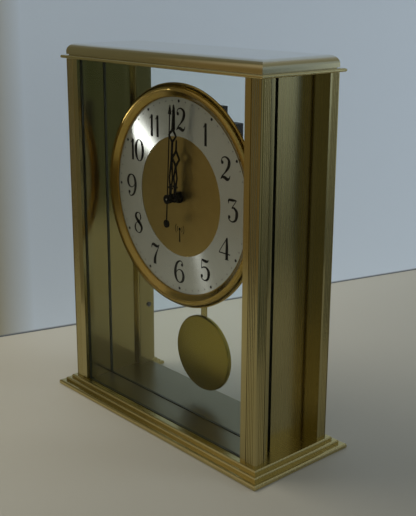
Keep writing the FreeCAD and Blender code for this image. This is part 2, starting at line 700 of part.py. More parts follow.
def pendulum_hanger():
    """The lever on the pivot pin: an eye at its top and a hook for the rod at its foot."""
    foot = HOUSING_BOTTOM - 9.0
    y0, y1 = HANGER_Y
    lever = block(-HANGER_HALF_W, HANGER_HALF_W, y0, y1, foot, SWING_PIVOT_Z)
    eye = rod_y(HANGER_HALF_W, y0, y1, (0, SWING_PIVOT_Z))
    hook = block(-1.2, 1.2, ROD_Y[0] - 0.3, y0, foot + 1.2, foot + 2.4)
    lip = block(-1.2, 1.2, ROD_Y[0] - 0.3, ROD_Y[0], foot + 2.4, foot + 3.2)
    bore = rod_y(PIVOT_PIN_R + PIVOT_PLAY, y0 - 1, y1 + 1, (0, SWING_PIVOT_Z))
    return fused(lever, eye, hook, lip).cut(bore)


def hanger_magnet():
    return rod_y(2.2, HANGER_Y[1], HANGER_Y[1] + 2.0, (0, MAGNET_Z))


def pendulum_rod():
    """A flat brass strip with a slot at the top that drops over the hanger's hook."""
    hook_foot = HOUSING_BOTTOM - 9.0 + 1.2
    strip = block(-ROD_W / 2, ROD_W / 2, *ROD_Y, BOB_Z, hook_foot + 3.4)
    eye = block(-1.4, 1.4, ROD_Y[0] - 1, ROD_Y[1] + 1, hook_foot - 1.6, hook_foot + 1.2)
    return strip.cut([eye, pendulum_bob()])


def pendulum_bob():
    """A spun brass disc, slightly domed at the front, with a flat back."""
    back = ROD_Y[1] + 0.3
    front = back - BOB_T
    rim = 0.7
    top = Part.Arc(Vec(0, front - BOB_DOME, BOB_Z), Vec(BOB_R * 0.55, front - BOB_DOME * 0.66, BOB_Z),
                   Vec(BOB_R - rim, front, BOB_Z)).toShape()
    rest = Part.makePolygon([Vec(BOB_R - rim, front, BOB_Z), Vec(BOB_R, front + rim, BOB_Z),
                             Vec(BOB_R, back, BOB_Z), Vec(0, back, BOB_Z),
                             Vec(0, front - BOB_DOME, BOB_Z)])
    disc = Part.Face(Part.Wire([top] + rest.Edges))
    return disc.revolve(Vec(0, 0, BOB_Z), Vec(0, 1, 0), 360)


# ==== export ==============================================================================
ONE_OFF_PARTS = (
    base_felt, base_moulding, floor_plate_front, floor_plate_rear, top_flange, top_cap, base_screws,
    top_studs, rail_screws, front_glass, dial_glass, dial_plate, chapter_ring, bezel, mounting_bush,
    mounting_washer, mounting_nut, movement_case, rear_cover, cover_screws, gear_plate, train_bridge,
    motor_stator, motor_coil, circuit_board, circuit_parts, antenna_rod, antenna_coil, battery,
    battery_contacts, drive_coil, pivot_pin, rotor_pinion, rotor_magnet, intermediate_wheel,
    second_arbor, second_wheel, third_wheel, minute_wheel, motion_wheel, hour_wheel, hour_hand,
    minute_hand, second_hand, pendulum_hanger, hanger_magnet, pendulum_rod, pendulum_bob,
    set_button, reset_button,
)


def all_parts():
    parts = {make.__name__: make() for make in ONE_OFF_PARTS}
    post = post_front_right()
    parts["post_front_right"] = post
    parts["post_front_left"] = flip_x(post)
    parts["post_rear_right"] = flip_y(post).cut(rail_screws().Solids)
    parts["post_rear_left"] = flip_x(parts["post_rear_right"])
    for make in (side_strip_right, side_plate_right, rear_rail_right):
        name = make.__name__.replace("_right", "")
        parts[name + "_right"] = make()
        parts[name + "_left"] = flip_x(parts[name + "_right"])
    return parts


def export(parts):
    os.makedirs("parts", exist_ok=True)
    for name, shape in parts.items():
        assert shape.isValid() and shape.Solids, name
        shape.exportStep(f"parts/{name}.step")
        print(f"{name:22s} solids {len(shape.Solids)} volume {shape.Volume:10.1f}")


export(all_parts())
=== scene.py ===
"""Looks of the mantel clock, in Blender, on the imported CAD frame.

Metres. +X is the clock's right seen from the front, +Y goes to the back, +Z is up. The CAD nodes
keep their shapes and get procedural finishes. The printing on the dial and the ground edges of
the panes are made here, as thin pieces that ride on the case. The stage is a pale table top with
a pale wall behind it.
"""
import math

import bpy
from mathutils import Matrix, Vector


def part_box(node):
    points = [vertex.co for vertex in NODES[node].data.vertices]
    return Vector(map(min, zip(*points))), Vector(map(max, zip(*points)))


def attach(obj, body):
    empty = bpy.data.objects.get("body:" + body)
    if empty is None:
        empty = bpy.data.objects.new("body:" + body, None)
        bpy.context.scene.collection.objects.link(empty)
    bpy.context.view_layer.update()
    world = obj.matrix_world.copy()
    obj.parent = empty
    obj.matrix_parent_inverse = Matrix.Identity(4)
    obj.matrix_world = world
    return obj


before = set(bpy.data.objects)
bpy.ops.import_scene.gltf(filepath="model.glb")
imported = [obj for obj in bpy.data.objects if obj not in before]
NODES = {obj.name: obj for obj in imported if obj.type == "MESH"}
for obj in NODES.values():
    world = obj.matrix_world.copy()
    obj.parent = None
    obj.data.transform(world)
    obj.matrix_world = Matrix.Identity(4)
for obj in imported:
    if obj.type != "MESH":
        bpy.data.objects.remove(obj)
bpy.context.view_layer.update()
MM = 0.001

RING_LOW, RING_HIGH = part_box("chapter_ring")
DIAL_CENTRE = (RING_LOW + RING_HIGH) / 2
DIAL_FACE_Y = RING_LOW.y
INNER_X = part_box("side_plate_right")[0].x

# ---- printing on the dial, in mm from its centre ---------------------------------------------
PRINT_PROUD = 0.03
NUMERAL_R = 48.3
NUMERAL_SIZE = 1.06         # times the size of the glyphs below
NUMERAL_BOLD = 1.42         # times the widths of their strokes
DOT_R = 59.4
HOUR_DOT = 0.95
MINUTE_DOT = 0.42
MAST_TOP = -20.6
MAST_FOOT = -29.0
MAST_WIDTHS = (0.8, 1.3)    # at its top and foot
MAST_BALL = 1.0
WAVE_RADII = (2.4, 4.2)
WAVE_ANGLES = (-40, -20, 0, 20, 40)
WAVE_WIDTH = 0.5

# ---- ground edges of the panes, in mm --------------------------------------------------------
EDGE_REACH = 1.42           # how far an edge goes into the side plates
EDGE_SHOWN = 0.45           # how much of it shows inside the case
EDGE_SKIN = 0.05            # how far it stands off the pane's two faces
EDGE_BITE = 0.3             # how far it goes into the floor plates and the top flange


# ==== node helpers ============================================================================
class Nodes:
    """A material with a Principled shader, and short ways to add nodes before it."""

    def __init__(self, name):
        self.material = bpy.data.materials.new(name)
        self.material.use_nodes = True
        self.tree = self.material.node_tree
        self.shader = self.tree.nodes["Principled BSDF"]
        self.output = self.tree.nodes["Material Output"]

    def add(self, kind, **settings):
        node = self.tree.nodes.new(kind)
        for key, value in settings.items():
            setattr(node, key, value)
        return node

    def link(self, source, target):
        if isinstance(source, (int, float, tuple)):
            target.default_value = source
        else:
            self.tree.links.new(source, target)

    def set(self, shader=None, **sockets):
        """Sets or links sockets of a shader: base_color means Base Color, and so on."""
        for key, value in sockets.items():
            name = key.replace("_", " ").title().replace("Ior", "IOR")
            self.link(value, (shader or self.shader).inputs[name])

    def place(self):
        return self.add("ShaderNodeTexCoord").outputs["Object"]

    def stretched(self, scale, source=None):
        """Coordinates scaled by a different amount along each axis."""
        mapping = self.add("ShaderNodeMapping")
        mapping.inputs["Scale"].default_value = scale
        self.link(source or self.place(), mapping.inputs["Vector"])
        return mapping.outputs["Vector"]

    def noise(self, vector, scale=1.0, detail=3.0, roughness=0.5):
        node = self.add("ShaderNodeTexNoise")
        self.link(vector, node.inputs["Vector"])
        node.inputs["Scale"].default_value = scale
        node.inputs["Detail"].default_value = detail
        node.inputs["Roughness"].default_value = roughness
        return node.outputs["Fac"]

    def spread(self, value, low, high, start=0.3, end=0.7):
        """A value mapped from start..end, or else a noise's usual range, to low..high."""
        node = self.add("ShaderNodeMapRange")
        self.link(value, node.inputs["Value"])
        for key, number in (("From Min", start), ("From Max", end), ("To Min", low), ("To Max", high)):
            node.inputs[key].default_value = number
        return node.outputs["Result"]

    def math(self, operation, a, b=0.0):
        node = self.add("ShaderNodeMath", operation=operation)
        self.link(a, node.inputs[0])
        self.link(b, node.inputs[1])
        return node.outputs["Value"]

    def vector_math(self, operation, a, b=(0.0, 0.0, 0.0)):
        node = self.add("ShaderNodeVectorMath", operation=operation)
        self.link(a, node.inputs[0])
        self.link(b, node.inputs[1])
        return node.outputs["Vector"]

    def blend(self, factor, low, high):
        node = self.add("ShaderNodeMix", data_type="RGBA")
        self.link(factor, node.inputs["Factor"])
        low_colour, high_colour = [socket for socket in node.inputs if socket.type == "RGBA"]
        self.link(low, low_colour)
        self.link(high, high_colour)
        return next(socket for socket in node.outputs if socket.type == "RGBA")

    def bump(self, height, distance, strength=1.0):
        node = self.add("ShaderNodeBump")
        self.link(height, node.inputs["Height"])
        node.inputs["Distance"].default_value = distance
        node.inputs["Strength"].default_value = strength
        return node.outputs["Normal"]


def scaled(colour, factor):
    """A colour made darker or paler, and opaque."""
    return tuple(channel * factor for channel in colour[:3]) + (1.0,)


# ==== finishes ================================================================================
BRASS = (0.44, 0.36, 0.145, 1.0)
PALE_BRASS = (0.46, 0.39, 0.175, 1.0)
MOULDING_BRASS = (0.58, 0.49, 0.22, 1.0)
CAP_SIDE_BRASS = (0.5, 0.43, 0.21, 1.0)
# painted sheen: a paler brass for the cap's top, standing for the light it catches from the room
CAP_TOP_PAINTED_SHEEN = (0.80, 0.77, 0.68, 1.0)
FLOOR_PLATE_BRASS = (0.25, 0.225, 0.14, 1.0)
BEZEL_BRASS = (0.37, 0.25, 0.06, 1.0)
BOB_BRASS = (0.36, 0.28, 0.05, 1.0)
DISC_GOLD = (0.44, 0.335, 0.13, 1.0)
RING_SILVER = (0.50, 0.51, 0.47, 1.0)
# the glass's own dark green edge, darkened further by painted shade from the grooves
PANE_EDGE_GREEN_AND_SHADE = (0.030, 0.030, 0.016, 1.0)
WHITE_ACETAL = (0.75, 0.74, 0.7, 1.0)
BLACK = (0.006, 0.006, 0.006, 1.0)
FADED_BLACK = (0.03, 0.03, 0.027, 1.0)
UP = (0.0, 0.0, 1.0)
TONE_RANGE = (0.88, 1.1)    # where the tone of metal lies before it is mapped to 0..1
TONE_SHADES = (0.88, 1.06)  # the darkest and palest shade of metal, as parts of its colour
INSIDE_SKIN = 0.4           # mm of a side plate's thickness that has the inside's finish
CAP_TURN = (0.5, 0.97)      # upward part of the normal, where the cap's side turns into its top
SLEEVE_END = 0.7            # of the battery's length, where the copper-coloured end starts


def metal(name, colour, low, high, grain, coat=0.25, anisotropic=0.0, tangent=None, depth=1.5e-6):
    """Lacquered metal: fine grain in its roughness, colour and height.

    Its roughness lies between low and high. grain is the scale of the grain along x, y and z;
    a small number is a long streak.
    """
    made = Nodes(name)
    streaks = made.noise(made.stretched(grain), detail=4.0, roughness=0.6)
    clouds = made.noise(made.place(), scale=22.0, detail=2.0)
    shade = made.spread(clouds, 0.95, 1.05)
    tone = made.math("MULTIPLY", shade, made.spread(streaks, 0.96, 1.04))
    paleness = made.spread(tone, 0.0, 1.0, *TONE_RANGE)
    darkest, palest = (scaled(colour, shade) for shade in TONE_SHADES)
    made.set(
        base_color=made.blend(paleness, darkest, palest),
        metallic=1.0,
        roughness=made.spread(streaks, low, high),
        normal=made.bump(streaks, depth),
        coat_weight=coat,
        coat_roughness=0.08,
        anisotropic=anisotropic,
    )
    if tangent:
        made.set(tangent=tangent(made))
    return made


def across_posts(made):
    """A level tangent, so that light spreads across upright grain."""
    normal = made.add("ShaderNodeNewGeometry").outputs["Normal"]
    return made.vector_math("CROSS_PRODUCT", normal, UP)


def across_mouldings(made):
    """A tangent that runs down the profile of a moulding, across the grain along it."""
    normal = made.add("ShaderNodeNewGeometry").outputs["Normal"]
    tilted = made.vector_math("ADD", made.vector_math("CROSS_PRODUCT", normal, UP), (0.001, 0.0, 0.0))
    return made.vector_math("NORMALIZE", made.vector_math("CROSS_PRODUCT", normal, tilted))


def away_from(made, centre):
    """The vector in the dial's plane from a turned part's centre."""
    away = made.vector_math("SUBTRACT", made.place(), tuple(centre))
    return made.vector_math("MULTIPLY", away, (1.0, 0.0, 1.0))


def turned(made, centre, rings_per_metre):
    """A value that varies with distance from a centre: the fine rings that turning leaves."""
    flat = away_from(made, centre)
    length = made.add("ShaderNodeVectorMath", operation="LENGTH")
    made.link(flat, length.inputs[0])
    rings = made.add("ShaderNodeTexNoise", noise_dimensions="1D")
    made.link(length.outputs["Value"], rings.inputs["W"])
    rings.inputs["Scale"].default_value = rings_per_metre
    rings.inputs["Detail"].default_value = 3.0
    return rings.outputs["Fac"]


def turned_metal(name, colour, centre, low, high, coat, anisotropic, rings=2500.0, metallic=1.0):
    """Metal turned on a lathe: fine rings in its roughness, colour and height."""
    made = Nodes(name)
    ring_value = turned(made, centre, rings)
    clouds = made.noise(made.place(), scale=30.0, detail=2.0)
    tone = made.math("ADD", made.math("MULTIPLY", ring_value, 0.6), made.math("MULTIPLY", clouds, 0.4))
    made.set(
        base_color=made.blend(made.spread(tone, 0.0, 1.0), scaled(colour, 0.92), scaled(colour, 1.05)),
        metallic=metallic,
        roughness=made.spread(ring_value, low, high),
        normal=made.bump(ring_value, 3e-6),
        coat_weight=coat,
        coat_roughness=0.06,
        anisotropic=anisotropic,
        tangent=away_from(made, centre),
    )
    return made.material


def post_brass():
    """Polished, with faint upright grain."""
    made = metal("post_brass", PALE_BRASS, low=0.15, high=0.22, grain=(1500, 1500, 3), coat=0.15,
                 anisotropic=0.2, tangent=across_posts, depth=3e-7)
    return made.material


def base_brass():
    """Paler, with grain that runs along the front."""
    made = metal("base_brass", MOULDING_BRASS, low=0.18, high=0.3, grain=(5, 1500, 1500),
                 coat=0.15, anisotropic=0.3, tangent=across_mouldings)
    return made.material


def cap_brass():
    """The top face is brushed and the sides polished; the top is painted paler, a painted sheen for the
    light it catches from the room.
    """
    made = metal("cap_brass", PALE_BRASS, low=0.13, high=0.2, grain=(8, 1100, 1100), coat=0.8,
                 anisotropic=0.3, tangent=across_mouldings)
    split = made.add("ShaderNodeSeparateXYZ")
    made.link(made.add("ShaderNodeNewGeometry").outputs["Normal"], split.inputs["Vector"])
    upward = made.spread(split.outputs["Z"], 0.0, 1.0, *CAP_TURN)
    # the top face gets the painted sheen, a paler copy of the brass
    made.set(base_color=made.blend(upward, CAP_SIDE_BRASS, CAP_TOP_PAINTED_SHEEN))
    return made.material


def rail_brass():
    """Polished, for flat bars that stand upright."""
    return metal("rail_brass", BRASS, low=0.14, high=0.2, grain=(900, 900, 6), coat=0.2).material


def mirror_brass():
    """The floor plates, dull enough to blur what stands on them."""
    made = metal("mirror_brass", FLOOR_PLATE_BRASS, low=0.3, high=0.38, grain=(12, 900, 40), coat=0.1)
    return made.material


def plate_brass():
    """The side plates: vertical brushing outside, a near-mirror inside."""
    made = metal("plate_brass", PALE_BRASS, low=0.22, high=0.3, grain=(1600, 1600, 3), coat=0.1,
                 anisotropic=0.3, tangent=across_posts, depth=2e-6)
    inside = made.add("ShaderNodeBsdfPrincipled")
    haze = made.noise(made.stretched((300, 300, 4)), detail=2.0)
    made.set(
        inside,
        base_color=scaled(BRASS, 1.08),
        metallic=1.0,
        roughness=made.spread(haze, 0.12, 0.17),
        coat_weight=0.3,
        coat_roughness=0.05,
    )
    split = made.add("ShaderNodeSeparateXYZ")
    made.link(made.place(), split.inputs["Vector"])
    across = made.math("ABSOLUTE", split.outputs["X"])
    outside = made.math("GREATER_THAN", across, INNER_X + INSIDE_SKIN * MM)
    mix = made.add("ShaderNodeMixShader")
    made.link(outside, mix.inputs[0])
    made.link(inside.outputs["BSDF"], mix.inputs[1])
    made.link(made.shader.outputs["BSDF"], mix.inputs[2])
    made.link(mix.outputs["Shader"], made.output.inputs["Surface"])
    return made.material


def bezel_brass():
    """Polished, and redder than the posts."""
    return turned_metal("bezel_brass", BEZEL_BRASS, DIAL_CENTRE, low=0.1, high=0.15, coat=0.2,
                        anisotropic=0.3)


def bob_brass():
    """Satin, turned about the middle of the bob."""
    low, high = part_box("pendulum_bob")
    return turned_metal("bob_brass", BOB_BRASS, (low + high) / 2, low=0.28, high=0.36, coat=0.1,
                        anisotropic=0.35, rings=1800.0)


def silver_ring():
    """Spun metal under a matt lacquer, so only part of its light is a reflection."""
    return turned_metal("silver_ring", RING_SILVER, DIAL_CENTRE, low=0.21, high=0.26, coat=0.1,
                        anisotropic=1.0, rings=3500.0, metallic=0.5)


def gold_disc():
    """Matt gilt with a fine even grain."""
    made = metal("gold_disc", DISC_GOLD, low=0.28, high=0.34, grain=(260, 260, 260), coat=0.1)
    return made.material


def glass():
    """Coated glass with weak reflections, clear through its thickness and green along its length."""
    made = Nodes("pane_glass")
    made.set(base_color=(1.0, 1.0, 1.0, 1.0), roughness=0.0, transmission_weight=1.0, ior=1.1)
    absorb = made.add("ShaderNodeVolumeAbsorption")
    absorb.inputs["Color"].default_value = (0.45, 0.8, 0.6, 1.0)
    absorb.inputs["Density"].default_value = 24.0
    made.link(absorb.outputs["Volume"], made.output.inputs["Volume"])
    return made.material


def painted(name, colour, low, high, grain=300.0, depth=1e-5, metallic=0.0, shine=0.5):
    """Paint, plastic or plain metal, with a fine texture and slight changes of tone."""
    made = Nodes(name)
    fine = made.noise(made.place(), scale=grain, detail=3.0)
    broad = made.noise(made.place(), scale=25.0, detail=2.0)
    made.set(
        base_color=made.blend(made.spread(broad, 0.0, 1.0), scaled(colour, 0.85), scaled(colour, 1.15)),
        metallic=metallic,
        roughness=made.spread(fine, low, high),
        normal=made.bump(fine, depth),
        specular_ior_level=shine,
    )
    return made.material


def wheel_plastic():
    """White plastic wheels whose tubes are blackened where they pass through the dial."""
    made = Nodes("wheel_plastic")
    fine = made.noise(made.place(), scale=500.0)
    split = made.add("ShaderNodeSeparateXYZ")
    made.link(made.place(), split.inputs["Vector"])
    outside = made.math("LESS_THAN", split.outputs["Y"], DIAL_FACE_Y)
    made.set(
        base_color=made.blend(outside, WHITE_ACETAL, BLACK),
        roughness=made.spread(fine, 0.35, 0.5),
        normal=made.bump(fine, 1e-5),
        specular_ior_level=0.3,
    )
    return made.material


def felt():
    """Short dark green fibres."""
    made = Nodes("base_felt")
    fibre = made.noise(made.stretched((900, 1400, 900)), detail=6.0, roughness=0.7)
    made.set(
        base_color=made.blend(fibre, (0.015, 0.03, 0.02, 1.0), (0.05, 0.085, 0.06, 1.0)),
        roughness=0.95,
        normal=made.bump(fibre, 0.0002),
        sheen_weight=0.4,
    )
    return made.material


def winding():
    """Enamelled copper wire, wound close."""
    made = Nodes("copper_winding")
    wave = made.add("ShaderNodeTexWave", bands_direction="X")
    made.link(made.place(), wave.inputs["Vector"])
    wave.inputs["Scale"].default_value = 900.0
    wave.inputs["Distortion"].default_value = 0.4
    made.set(
        base_color=made.blend(wave.outputs["Fac"], (0.2, 0.05, 0.02, 1.0), (0.75, 0.3, 0.13, 1.0)),
        metallic=1.0,
        roughness=0.3,
        normal=made.bump(wave.outputs["Fac"], 0.0001),
    )
    return made.material


def circuit():
    """A green board with paler tracks under its lacquer."""
    made = Nodes("circuit_green")
    cells = made.add("ShaderNodeTexVoronoi", distance="MANHATTAN", feature="DISTANCE_TO_EDGE")
    made.link(made.place(), cells.inputs["Vector"])
    cells.inputs["Scale"].default_value = 300.0
    tracks = made.spread(cells.outputs["Distance"], 1.0, 0.0, 0.03, 0.08)
    made.set(
        base_color=made.blend(tracks, (0.01, 0.09, 0.03, 1.0), (0.06, 0.25, 0.08, 1.0)),
        roughness=0.3,
        coat_weight=0.5,
    )
    return made.material


def battery_sleeve():
    """A plain printed sleeve: a copper-coloured end on a dark body."""
    made = Nodes("battery_sleeve")
    split = made.add("ShaderNodeSeparateXYZ")
    made.link(made.place(), split.inputs["Vector"])
    low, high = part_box("battery")
    edge = low.x + SLEEVE_END * (high.x - low.x)
    end = made.math("GREATER_THAN", split.outputs["X"], edge)
    fine = made.noise(made.place(), scale=200.0)
    made.set(
        base_color=made.blend(end, (0.02, 0.02, 0.025, 1.0), (0.55, 0.27, 0.1, 1.0)),
        metallic=0.6,
        roughness=made.spread(fine, 0.25, 0.35),
        coat_weight=0.4,
    )
    return made.material


def finishes():
    """A finish for each material slot of the record."""
    charcoal = (0.018, 0.018, 0.02, 1.0)
    grey = (0.05, 0.05, 0.055, 1.0)
    silver = (0.6, 0.6, 0.6, 1.0)
    blackened = (0.16, 0.155, 0.15, 1.0)
    rubber = (0.02, 0.02, 0.02, 1.0)
    return {
        "polished_brass": post_brass(),
        "brushed_brass": plate_brass(),
        "mirror_brass": mirror_brass(),
        "satin_brass": bob_brass(),
        "gold_dial": gold_disc(),
        "silver_dial": silver_ring(),
        "glass": glass(),
        "black_enamel": painted("black_enamel", BLACK, 0.35, 0.45, 600.0, 2e-6, shine=0.12),
        "black_plastic": painted("black_plastic", charcoal, 0.42, 0.58, 900.0, 2e-5),
        "white_plastic": painted("white_plastic", WHITE_ACETAL, 0.35, 0.5, 500.0),
        "steel": painted("steel", silver, 0.25, 0.38, 700.0, 4e-6, metallic=1.0),
        "dark_steel": painted("dark_steel", blackened, 0.35, 0.5, 700.0, 6e-6, metallic=1.0),
        "copper_winding": winding(),
        "ferrite": painted("ferrite", grey, 0.5, 0.7, 800.0, 3e-5),
        "circuit_green": circuit(),
        "battery_sleeve": battery_sleeve(),
        "felt": felt(),
        "rubber": painted("rubber", rubber, 0.6, 0.8, 700.0, 3e-5),
    }


def dress_nodes():
    """Gives every CAD node its finish, and its own one where the slot's doesn't suit its shape."""
    made = finishes()
    own = {
        "base_moulding": base_brass(),
        "top_flange": base_brass(),
        "top_cap": cap_brass(),
        "bezel": bezel_brass(),
        "rear_rail_left": rail_brass(),
        "rear_rail_right": rail_brass(),
        "pendulum_rod": rail_brass(),
        "hour_wheel": wheel_plastic(),
        "minute_wheel": wheel_plastic(),
    }
    for name, node in NODES.items():
        for slot in node.material_slots:
            slot.material = own.get(name) or made[slot.material.name.split(".")[0]]
    for name in ("front_glass", "dial_glass"):
        NODES[name].visible_shadow = False


def soften_edges():
    """A small bevel catches the light on the edges of flat parts. Widths are in mm."""
    widths = {"side_plate_left": 0.2, "side_plate_right": 0.2, "side_strip_left": 0.2,
              "side_strip_right": 0.2, "movement_case": 0.4, "rear_cover": 0.4,
              "floor_plate_front": 0.15, "floor_plate_rear": 0.15, "mounting_nut": 0.2,
              "hour_hand": 0.06, "minute_hand": 0.06, "second_hand": 0.05, "pendulum_rod": 0.1}
    for name, width in widths.items():
        bevel = NODES[name].modifiers.new("edge", "BEVEL")
        bevel.width = width * MM
        bevel.segments = 2
        bevel.limit_method = "ANGLE"
        bevel.angle_limit = math.radians(50)
        bevel.harden_normals = True


# ==== pane edges ==============================================================================
def square_loop(x, y, bottom, top):
    """The corners of an upright rectangle across the clock."""
    return [(-x, y, bottom), (x, y, bottom), (x, y, top), (-x, y, top)]


def ground_edges():
    """The ground edges of the panes, which show as dark lines where they enter the case: the glass's
    own green edge, darkened further by painted shade from the grooves.

    Each is a band round its pane: a lip over the rim of each of its faces, and a wall through
    the glass between the two lips.
    """
    # partly the green ground edge of the glass, partly painted shade from the grooves
    green = painted("ground_glass_and_shade", PANE_EDGE_GREEN_AND_SHADE, 0.35, 0.5, 700.0, 4e-6, shine=0.3)
    outer = INNER_X + EDGE_REACH * MM
    inner = INNER_X - EDGE_SHOWN * MM
    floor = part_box("floor_plate_front")[1].z
    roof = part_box("top_flange")[0].z
    for name in ("front_glass", "dial_glass"):
        low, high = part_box(name)
        corners = []
        for y in (low.y - EDGE_SKIN * MM, high.y + EDGE_SKIN * MM):
            corners += square_loop(outer, y, floor - EDGE_BITE * MM, roof + EDGE_BITE * MM)
            corners += square_loop(inner, y, floor + EDGE_SHOWN * MM, roof - EDGE_SHOWN * MM)
        faces = []
        for i in range(4):
            j = (i + 1) % 4
            faces.append((i, j, j + 4, i + 4))
            faces.append((i + 12, j + 12, j + 8, i + 8))
            faces.append((i + 4, j + 4, j + 12, i + 12))
        mesh = bpy.data.meshes.new(name + "_edge")
        mesh.from_pydata(corners, [], faces)
        mesh.materials.append(green)
        piece = bpy.data.objects.new(name + "_edge", mesh)
        bpy.context.scene.collection.objects.link(piece)
        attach(piece, "case")


# ==== numerals ================================================================================
# A glyph is a list of strokes and balls in mm about its own middle. A stroke's points are
# (x, z, width); a ball is (x, z, radius).
BOWL = [(1.0, 1.7, 0.9), (3.0, 0.2, 1.5), (3.4, -2.1, 1.7), (2.5, -4.9, 1.2), (0.1, -6.3, 0.6),
        (-2.3, -5.7, 0.5), (-3.2, -4.4, 0.7)]
BOWL_BALL = (-2.6, -3.9, 1.0)

ONE = ([[(0.3, -6.5, 1.5), (0.3, 0.0, 1.5), (0.3, 6.4, 1.3)],
        [(-1.9, 3.8, 0.3), (-0.9, 4.6, 0.5), (0.3, 6.3, 0.7)]], [])
TWO = ([[(-3.3, 3.4, 0.6), (-2.5, 5.6, 0.45), (0.1, 6.4, 0.7), (2.5, 5.2, 1.3), (3.0, 3.0, 1.7),
         (2.1, 0.5, 1.4), (-0.2, -2.3, 0.7), (-2.6, -4.5, 0.45), (-3.7, -6.2, 0.35)],
        [(-3.7, -6.3, 0.35), (-2.2, -5.0, 1.0), (-0.3, -5.2, 1.5), (1.7, -5.9, 1.4),
         (3.2, -5.2, 0.7), (3.9, -3.5, 0.35)]], [(-2.5, 3.2, 1.05)])
THREE = ([[(-3.3, 3.6, 0.3), (-3.0, 5.6, 0.9), (0.0, 5.9, 1.1), (3.1, 6.1, 0.5)],
          [(3.1, 6.1, 0.4), (1.2, 3.7, 0.4), (-0.7, 1.3, 0.4)], [(-0.7, 1.3, 0.4)] + BOWL], [BOWL_BALL])
FOUR = ([[(2.1, 6.5, 0.4), (-1.4, 1.7, 0.4), (-4.6, -2.8, 0.4)], [(-4.7, -3.0, 0.5), (4.6, -3.0, 0.5)],
         [(1.8, -6.4, 1.6), (1.8, 0.0, 1.6), (1.8, 6.4, 1.0)],
         [(0.2, -6.3, 0.35), (3.4, -6.3, 0.35)]], [])
FIVE = ([[(-2.6, 6.2, 0.4), (-2.8, 3.2, 0.4), (-2.9, 0.5, 0.4)],
         [(-2.6, 6.2, 0.5), (-1.4, 5.7, 1.2), (0.8, 5.4, 1.4), (2.3, 5.7, 0.9), (3.2, 6.7, 0.3)],
         [(-2.9, 0.5, 0.4), (-1.3, 1.6, 0.6)] + BOWL], [BOWL_BALL])
SIX = ([[(3.2, 4.5, 0.5), (2.4, 6.2, 0.45), (0.4, 6.7, 0.6), (-2.3, 4.7, 1.2), (-3.7, 0.9, 1.6),
         (-3.8, -2.4, 1.7), (-2.5, -5.6, 1.2), (0.0, -6.8, 0.5), (2.6, -5.5, 1.2), (3.7, -2.7, 1.6),
         (2.8, 0.1, 1.2), (0.4, 1.3, 0.5), (-1.8, 0.4, 0.4), (-3.2, -1.4, 0.4)]], [(2.4, 4.5, 1.0)])
SEVEN = ([[(-3.7, 3.2, 0.3), (-3.3, 5.1, 0.8), (-1.7, 5.8, 1.4), (0.5, 5.2, 1.5), (2.4, 5.2, 1.0),
           (3.8, 6.5, 0.35)],
          [(3.8, 6.5, 0.35), (2.3, 3.3, 0.5), (0.5, -0.2, 1.1), (-0.5, -3.4, 1.7),
           (-0.5, -6.4, 2.0)]], [])
EIGHT = ([[(2.4, 3.7, 0.9), (1.6, 5.8, 0.6), (0.0, 6.4, 0.4), (-2.0, 5.4, 1.1), (-2.4, 3.4, 1.5),
           (-0.5, 1.1, 1.7), (2.2, -0.9, 1.7), (3.3, -3.3, 1.4), (2.0, -5.8, 0.7), (0.0, -6.5, 0.4),
           (-2.5, -5.3, 1.0), (-3.3, -3.1, 1.1), (-2.2, -0.8, 0.6), (0.2, 0.9, 0.4), (1.9, 2.2, 0.5),
           (2.4, 3.7, 0.9)]], [])


def nought(half_width=3.4, half_height=6.5, thin=0.4, swell=1.4, steps=24):
    """An oval, thin at its top and foot and bold at its sides."""
    stroke = []
    for i in range(steps + 1):
        t = 2 * math.pi * i / steps
        bold = thin + swell * abs(math.cos(t)) ** 1.5
        stroke.append((half_width * math.cos(t), half_height * math.sin(t), bold))
    return [stroke], []


def shifted(glyph, x=0.0, z=0.0, turn=1):
    """A glyph moved by x and z, and turned upside down where turn is -1."""
    strokes, balls = glyph
    moved = [[(turn * px + x, turn * pz + z, size) for px, pz, size in stroke] for stroke in strokes]
    return moved, [(turn * px + x, turn * pz + z, size) for px, pz, size in balls]


def together(*glyphs):
    """One glyph made of several."""
    return [s for strokes, _ in glyphs for s in strokes], [b for _, balls in glyphs for b in balls]


NUMERALS = {
    1: ONE, 2: TWO, 3: THREE, 4: FOUR, 5: FIVE, 6: SIX, 7: SEVEN, 8: EIGHT, 9: shifted(SIX, turn=-1),
    10: together(shifted(ONE, -4.6), shifted(nought(), 2.1)),
    11: together(shifted(ONE, -2.4), shifted(ONE, 3.0)),
    12: together(shifted(ONE, -4.6), shifted(TWO, 1.6)),
}


